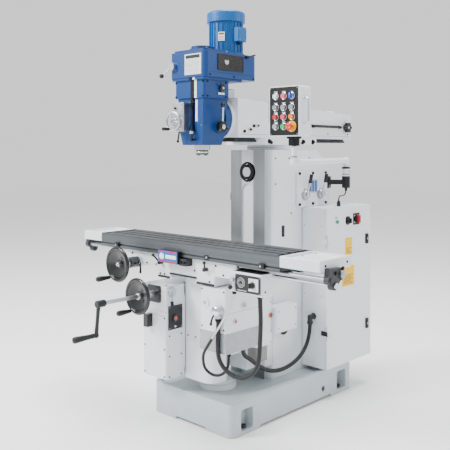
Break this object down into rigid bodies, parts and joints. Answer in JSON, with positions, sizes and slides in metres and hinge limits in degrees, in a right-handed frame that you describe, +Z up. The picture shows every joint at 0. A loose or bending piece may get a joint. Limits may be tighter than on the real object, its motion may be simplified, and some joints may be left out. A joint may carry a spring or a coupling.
{
  "type": "vertical milling machine",
  "caption": "Knee-type milling machine with a tilting vertical head on a ram, a horizontal spindle in the column, and a long slotted table.",
  "frame": {"origin": "On the floor, at the centre of the four anchor holes in the base.", "axes": "+X along the table to the operator's right, +Y from the operator towards the column, +Z up."},
  "size_m": [1.869, 2.005, 2.2901],
  "materials": {
    "base_paint": "satin grey enamel",
    "machine_paint": "semi-gloss off-white enamel",
    "way_steel": "ground and oiled iron",
    "black_steel": "blackened steel",
    "hose_rubber": "matte black conduit",
    "bright_steel": "turned steel",
    "black_plastic": "moulded black resin",
    "red_plastic": "moulded red",
    "chrome_trim": "polished plating",
    "dark_iron": "dark grey painted casting",
    "table_steel": "ground cast iron",
    "blue_paint": "semi-gloss blue enamel",
    "blue_motor": "light blue enamel",
    "satin_aluminium": "satin",
    "panel_black": "black control face",
    "blue_plastic": "moulded blue",
    "grey_plastic": "moulded grey",
    "pink_plastic": "moulded rose",
    "orange_plastic": "moulded orange",
    "green_plastic": "moulded green"
  },
  "bodies": {
    "frame": {"base_casting": "base_paint", "column_casting": "machine_paint", "column_slideway": "way_steel", "knee_pedestal": "base_paint", "gear_cover": "machine_paint", "cabinet_shell": "machine_paint", "pendant_bracket": "black_steel", "pendant_cable": "hose_rubber", "cabinet_hose": "hose_rubber"},
    "door": {"cabinet_door": "machine_paint"},
    "door_selector": {"door_selector": "black_plastic"},
    "main_switch": {"main_switch": "red_plastic"},
    "gear_lever_front": {"gear_lever_front": "bright_steel"},
    "gear_lever_rear": {"gear_lever_rear": "bright_steel"},
    "horizontal_spindle": {"horizontal_spindle": "black_steel"},
    "knee": {"knee_casting": "machine_paint", "knee_gearbox": "machine_paint", "knee_feed_box": "machine_paint"},
    "knee_screw": {"knee_screw": "bright_steel"},
    "knee_crank": {"knee_crank": "black_steel"},
    "cross_handwheel": {"cross_handwheel": "black_plastic"},
    "feed_dial_lever": {"feed_dial_lever": "chrome_trim"},
    "saddle": {"saddle_casting": "machine_paint", "feed_gearbox": "machine_paint", "feed_hose": "hose_rubber", "coolant_line": "hose_rubber"},
    "feed_selector": {"feed_selector": "black_plastic"},
    "feed_lever": {"feed_lever": "black_plastic"},
    "table_handwheel": {"table_handwheel": "black_plastic"},
    "lock_lever_left": {"lock_lever_left": "black_plastic"},
    "lock_lever_right": {"lock_lever_right": "black_plastic"},
    "table": {"table_top": "table_steel", "table_end_covers": "machine_paint", "end_bracket": "dark_iron"},
    "table_leadscrew": {"table_leadscrew": "bright_steel"},
    "feed_shaft": {"feed_shaft": "chrome_trim"},
    "turret": {"turret_block": "machine_paint"},
    "ram": {"ram_casting": "machine_paint"},
    "ram_handwheel": {"ram_handwheel": "black_plastic"},
    "head": {"head_housing": "blue_paint", "belt_housing": "blue_paint", "head_motor": "blue_motor"},
    "quill": {"quill": "bright_steel", "depth_stop": "black_steel"},
    "spindle": {"spindle": "black_steel"},
    "quill_lever": {"quill_lever": "bright_steel"},
    "fine_feed_wheel": {"fine_feed_wheel": "satin_aluminium"},
    "speed_lever": {"speed_lever": "bright_steel"},
    "pendant_arm": {"pendant_arm": "machine_paint"},
    "pendant": {"pendant_box": "panel_black"},
    "pendant_rotary": {"pendant_rotary": "blue_plastic"},
    "estop_button": {"estop_button": "red_plastic"},
    "button_grey_left": {"button_grey_left": "grey_plastic"},
    "button_grey_mid": {"button_grey_mid": "grey_plastic"},
    "button_grey_right": {"button_grey_right": "grey_plastic"},
    "button_row_left": {"button_row_left": "red_plastic"},
    "button_row_mid": {"button_row_mid": "pink_plastic"},
    "button_row_right": {"button_row_right": "orange_plastic"},
    "button_low_left": {"button_low_left": "grey_plastic"},
    "button_low_mid": {"button_low_mid": "green_plastic"}
  },
  "joints": [
    {"name": "door_swing", "type": "hinge", "parent": "frame", "child": "door", "pos_m": [0.3533, 0.221, 0.67], "axis": [0, 0, 1], "range_deg": [-110, 0]},
    {"name": "door_selector_turn", "type": "hinge", "parent": "door", "child": "door_selector", "pos_m": [0.352, 0.447, 1.065], "axis": [1, 0, 0], "range_deg": [-45, 45]},
    {"name": "main_switch_turn", "type": "hinge", "parent": "door", "child": "main_switch", "pos_m": [0.352, 0.543, 1.069], "axis": [1, 0, 0], "range_deg": [-90, 0]},
    {"name": "gear_lever_front_turn", "type": "hinge", "parent": "frame", "child": "gear_lever_front", "pos_m": [0.18, 0.238, 1.227], "axis": [1, 0, 0], "range_deg": [-25, 25]},
    {"name": "gear_lever_rear_turn", "type": "hinge", "parent": "frame", "child": "gear_lever_rear", "pos_m": [0.18, 0.396, 1.227], "axis": [1, 0, 0], "range_deg": [-25, 25]},
    {"name": "horizontal_spindle_spin", "type": "hinge", "parent": "frame", "child": "horizontal_spindle", "pos_m": [0, -0.055, 1.369], "axis": [0, 1, 0], "continuous": true},
    {"name": "knee_lift", "type": "slide", "parent": "frame", "child": "knee", "axis": [0, 0, 1], "range_m": [-0.02, 0.28], "deforming": ["cabinet_hose"]},
    {"name": "knee_screw_turn", "type": "hinge", "parent": "knee", "child": "knee_screw", "pos_m": [0, -0.345, 0.4], "axis": [0, 0, 1], "continuous": true},
    {"name": "knee_crank_turn", "type": "hinge", "parent": "knee", "child": "knee_crank", "pos_m": [-0.18, -0.784, 0.707], "axis": [0, 1, 0], "continuous": true},
    {"name": "cross_handwheel_turn", "type": "hinge", "parent": "knee", "child": "cross_handwheel", "pos_m": [-0.18, -0.784, 0.707], "axis": [0, 1, 0], "continuous": true},
    {"name": "feed_dial_turn", "type": "hinge", "parent": "knee", "child": "feed_dial_lever", "pos_m": [-0.085, -0.624, 0.722], "axis": [1, 0, 0], "range_deg": [-45, 45]},
    {"name": "saddle_cross", "type": "slide", "parent": "knee", "child": "saddle", "axis": [0, 1, 0], "range_m": [-0.08, 0.14], "deforming": ["feed_hose", "coolant_line"]},
    {"name": "feed_selector_turn", "type": "hinge", "parent": "saddle", "child": "feed_selector", "pos_m": [0.538, -0.663, 0.8451], "axis": [0, 1, 0], "range_deg": [-150, 150]},
    {"name": "feed_lever_turn", "type": "hinge", "parent": "saddle", "child": "feed_lever", "pos_m": [0.407, -0.66, 0.8591], "axis": [0, 1, 0], "range_deg": [-30, 30]},
    {"name": "table_handwheel_turn", "type": "hinge", "parent": "saddle", "child": "table_handwheel", "pos_m": [-0.37, -0.772, 0.85805], "axis": [0, 1, 0], "continuous": true},
    {"name": "lock_lever_left_turn", "type": "hinge", "parent": "saddle", "child": "lock_lever_left", "pos_m": [-0.174, -0.615, 0.87505], "axis": [0, 1, 0], "range_deg": [-40, 40]},
    {"name": "lock_lever_right_turn", "type": "hinge", "parent": "saddle", "child": "lock_lever_right", "pos_m": [0.18, -0.615, 0.87505], "axis": [0, 1, 0], "range_deg": [-40, 40]},
    {"name": "table_travel", "type": "slide", "parent": "saddle", "child": "table", "axis": [1, 0, 0], "range_m": [-0.32, 0.36]},
    {"name": "table_leadscrew_turn", "type": "hinge", "parent": "table", "child": "table_leadscrew", "pos_m": [0, -0.5125, 0.9301], "axis": [1, 0, 0], "continuous": true},
    {"name": "feed_shaft_spin", "type": "hinge", "parent": "table", "child": "feed_shaft", "pos_m": [0.7, -0.564, 0.8841], "axis": [1, 0, 0], "continuous": true},
    {"name": "turret_swivel", "type": "hinge", "parent": "frame", "child": "turret", "pos_m": [0, 0.14, 1.5], "axis": [0, 0, 1], "range_deg": [-45, 18]},
    {"name": "ram_slide", "type": "slide", "parent": "turret", "child": "ram", "axis": [0, 1, 0], "range_m": [-0.25, 0.19]},
    {"name": "ram_handwheel_turn", "type": "hinge", "parent": "ram", "child": "ram_handwheel", "pos_m": [0.13, 0.748, 1.6491], "axis": [1, 0, 0], "continuous": true},
    {"name": "head_tilt", "type": "hinge", "parent": "ram", "child": "head", "pos_m": [0, -0.345, 1.6751], "axis": [0, 1, 0], "range_deg": [-45, 35]},
    {"name": "quill_feed", "type": "slide", "parent": "head", "child": "quill", "axis": [0, 0, 1], "range_m": [-0.127, 0]},
    {"name": "spindle_spin", "type": "hinge", "parent": "quill", "child": "spindle", "pos_m": [0, -0.47, 1.5], "axis": [0, 0, 1], "continuous": true},
    {"name": "quill_lever_turn", "type": "hinge", "parent": "head", "child": "quill_lever", "pos_m": [0.11, -0.436, 1.6271], "axis": [1, 0, 0], "range_deg": [0, 205]},
    {"name": "fine_feed_turn", "type": "hinge", "parent": "head", "child": "fine_feed_wheel", "pos_m": [-0.052, -0.643, 1.6551], "axis": [0, 1, 0], "continuous": true},
    {"name": "speed_lever_turn", "type": "hinge", "parent": "head", "child": "speed_lever", "pos_m": [-0.106, -0.588, 1.9591], "axis": [0, 1, 0], "range_deg": [-30, 30]},
    {"name": "pendant_arm_swing", "type": "hinge", "parent": "frame", "child": "pendant_arm", "pos_m": [0.25, 0.58, 1.3], "axis": [0, 0, 1], "range_deg": [-8, 95]},
    {"name": "pendant_turn", "type": "hinge", "parent": "pendant_arm", "child": "pendant", "pos_m": [0.48, -0.26, 1.56], "axis": [0, 0, 1], "range_deg": [-90, 90]},
    {"name": "pendant_rotary_turn", "type": "hinge", "parent": "pendant", "child": "pendant_rotary", "pos_m": [0.504, -0.31, 1.785], "axis": [0, 1, 0], "range_deg": [-45, 45]},
    {"name": "estop_press", "type": "slide", "parent": "pendant", "child": "estop_button", "axis": [0, 1, 0], "range_m": [0, 0.006], "stiffness_N_per_m": 900},
    {"name": "button_grey_left_press", "type": "slide", "parent": "pendant", "child": "button_grey_left", "axis": [0, 1, 0], "range_m": [0, 0.004], "stiffness_N_per_m": 600},
    {"name": "button_grey_mid_press", "type": "slide", "parent": "pendant", "child": "button_grey_mid", "axis": [0, 1, 0], "range_m": [0, 0.004], "stiffness_N_per_m": 600},
    {"name": "button_grey_right_press", "type": "slide", "parent": "pendant", "child": "button_grey_right", "axis": [0, 1, 0], "range_m": [0, 0.004], "stiffness_N_per_m": 600},
    {"name": "button_row_left_press", "type": "slide", "parent": "pendant", "child": "button_row_left", "axis": [0, 1, 0], "range_m": [0, 0.004], "stiffness_N_per_m": 600},
    {"name": "button_row_mid_press", "type": "slide", "parent": "pendant", "child": "button_row_mid", "axis": [0, 1, 0], "range_m": [0, 0.004], "stiffness_N_per_m": 600},
    {"name": "button_row_right_press", "type": "slide", "parent": "pendant", "child": "button_row_right", "axis": [0, 1, 0], "range_m": [0, 0.004], "stiffness_N_per_m": 600},
    {"name": "button_low_left_press", "type": "slide", "parent": "pendant", "child": "button_low_left", "axis": [0, 1, 0], "range_m": [0, 0.004], "stiffness_N_per_m": 600},
    {"name": "button_low_mid_press", "type": "slide", "parent": "pendant", "child": "button_low_mid", "axis": [0, 1, 0], "range_m": [0, 0.004], "stiffness_N_per_m": 600}
  ],
  "couplings": [
    {"joint": "knee_screw_turn", "follows": "knee_lift", "rad_per_m": 628.32},
    {"joint": "knee_crank_turn", "follows": "knee_lift", "rad_per_m": 628.32},
    {"joint": "cross_handwheel_turn", "follows": "saddle_cross", "rad_per_m": 1047.2},
    {"joint": "table_handwheel_turn", "follows": "table_travel", "rad_per_m": 1047.2},
    {"joint": "table_leadscrew_turn", "follows": "table_travel", "rad_per_m": 1047.2},
    {"joint": "ram_handwheel_turn", "follows": "ram_slide", "rad_per_m": 40},
    {"joint": "quill_lever_turn", "follows": "quill_feed", "rad_per_m": -27.5}
  ]
}
